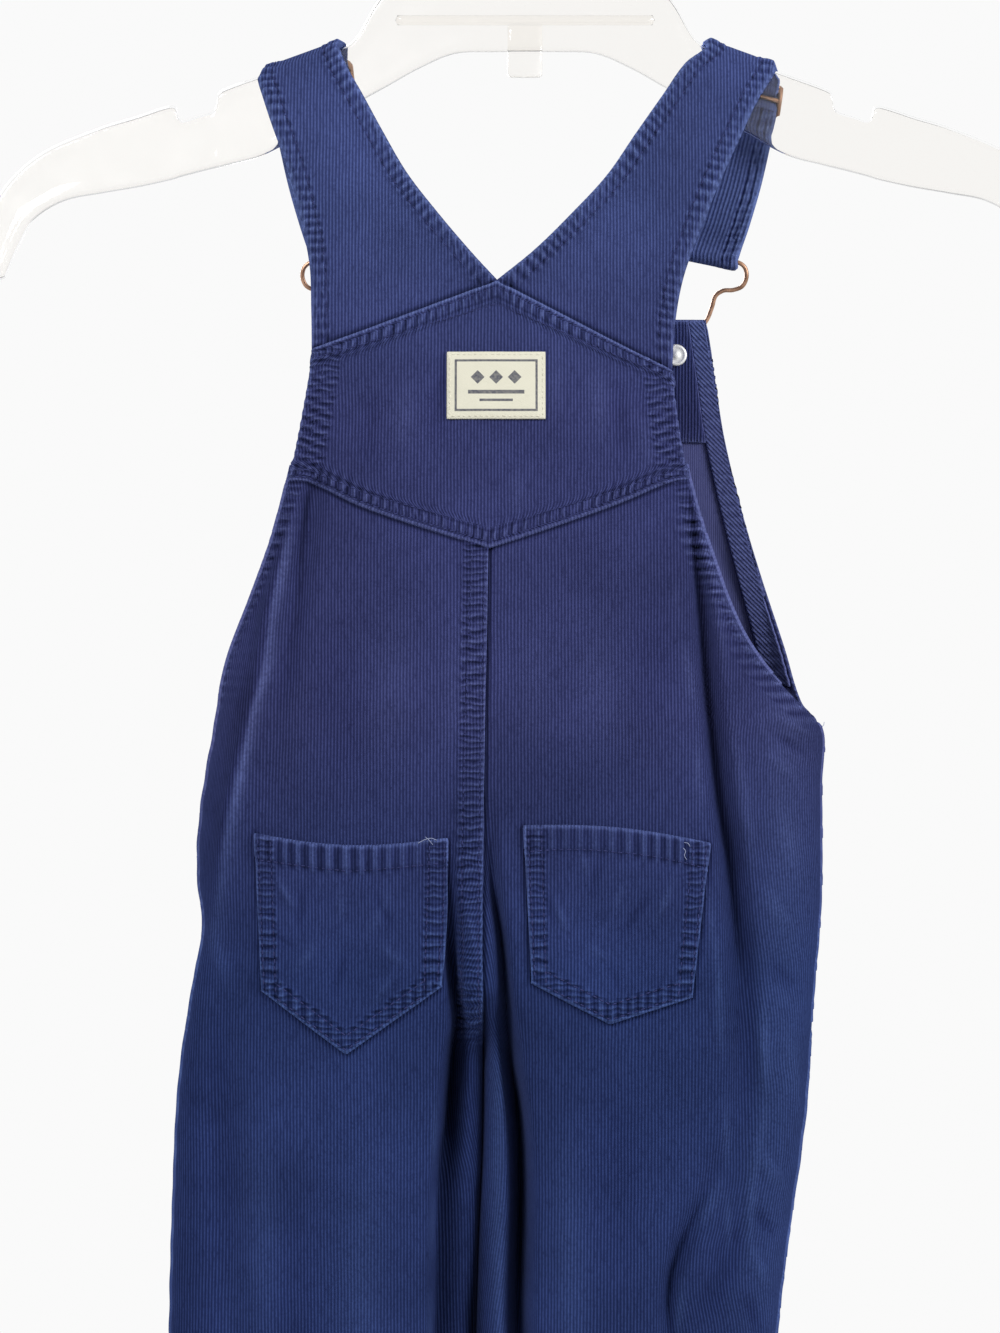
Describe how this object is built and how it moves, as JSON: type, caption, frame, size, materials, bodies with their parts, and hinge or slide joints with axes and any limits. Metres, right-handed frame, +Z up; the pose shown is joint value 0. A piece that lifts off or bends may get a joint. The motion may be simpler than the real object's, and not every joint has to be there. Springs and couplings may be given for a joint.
{
  "type": "bib overalls on a clothes hanger",
  "caption": "Child's navy fine-wale corduroy bib overalls with a pointed back yoke, patch pockets and wire buckles, hanging by the straps on a clear clothes hanger.",
  "frame": {"origin": "inner top of the hanger's hook, where a rail bears", "axes": "+Z up, +Y out of the garment's front, +X towards the wearer's right; millimetre sizes of the source are metres here"},
  "size_m": [0.432, 0.0722, 0.8918],
  "materials": {
    "corduroy": "fine-wale cotton corduroy, navy, washed",
    "corduroy_facing": "the same corduroy used as facing, wales inward",
    "woven_label": null,
    "copper_wire": "antique copper plated wire, satin",
    "copper_cap": "antique copper plated cap, satin",
    "nickel": "nickel plated, satin",
    "clear_plastic": "clear moulded polystyrene, glossy"
  },
  "bodies": {
    "root": {"hanger": "clear_plastic", "back_yoke": "corduroy", "woven_label": "woven_label", "bib": "corduroy", "bib_facing": "corduroy_facing", "armhole_facing_left": "corduroy_facing", "armhole_facing_right": "corduroy_facing", "back_panel_left": "corduroy", "front_panel_left": "corduroy", "back_pocket_left": "corduroy", "strap_left": "corduroy", "buckle_left": "copper_wire", "slide_left": "copper_wire", "button_left": "copper_cap", "button_back_left": "nickel", "back_panel_right": "corduroy", "front_panel_right": "corduroy", "back_pocket_right": "corduroy", "strap_right": "corduroy", "buckle_right": "copper_wire", "slide_right": "copper_wire", "button_right": "copper_cap", "button_back_right": "nickel"}
  },
  "joints": []
}
